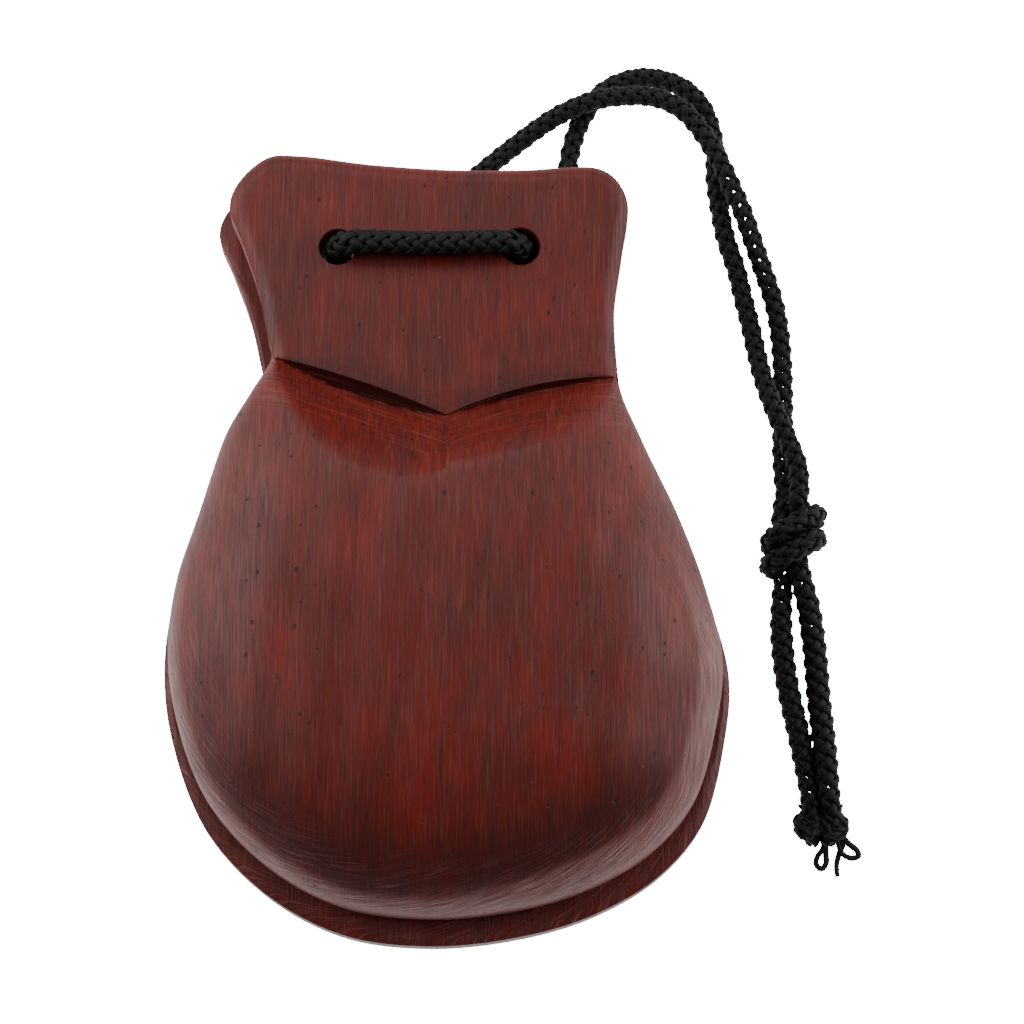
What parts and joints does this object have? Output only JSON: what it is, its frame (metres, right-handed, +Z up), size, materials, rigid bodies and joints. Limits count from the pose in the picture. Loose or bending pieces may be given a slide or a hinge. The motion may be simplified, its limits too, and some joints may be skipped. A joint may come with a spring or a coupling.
{
  "type": "pair of castanets",
  "caption": "Closed pair of carved wooden castanets with a V-grooved ear, laced on a black braided cord that is knotted into a thumb loop.",
  "frame": {"origin": "on the table, under the middle of the two shells' box", "axes": "+Y from the bowls to the ears, +X to the right seen from above, +Z up through the shells"},
  "size_m": [0.0766, 0.1039, 0.0266],
  "materials": {
    "lacquered_wood": "red-brown stained hardwood, fine straight grain with dark pores, semi-gloss lacquer over sanding marks",
    "braided_cord": "black loosely braided hollow polyester cord"
  },
  "bodies": {
    "rear": {"rear_shell": "lacquered_wood", "cord_leg_left": "braided_cord", "cord_leg_right": "braided_cord", "thumb_loop_knot": "braided_cord", "cord_tail_left": "braided_cord", "cord_tail_right": "braided_cord", "end_knot_left": "braided_cord", "end_knot_right": "braided_cord"},
    "front": {"front_shell": "lacquered_wood", "cord_bridge": "braided_cord"}
  },
  "joints": [
    {"name": "shell_clap", "type": "hinge", "parent": "rear", "child": "front", "pos_m": [0, 0.03325, 0.01092], "axis": [-1, 0, 0], "range_deg": [0, 16]}
  ]
}
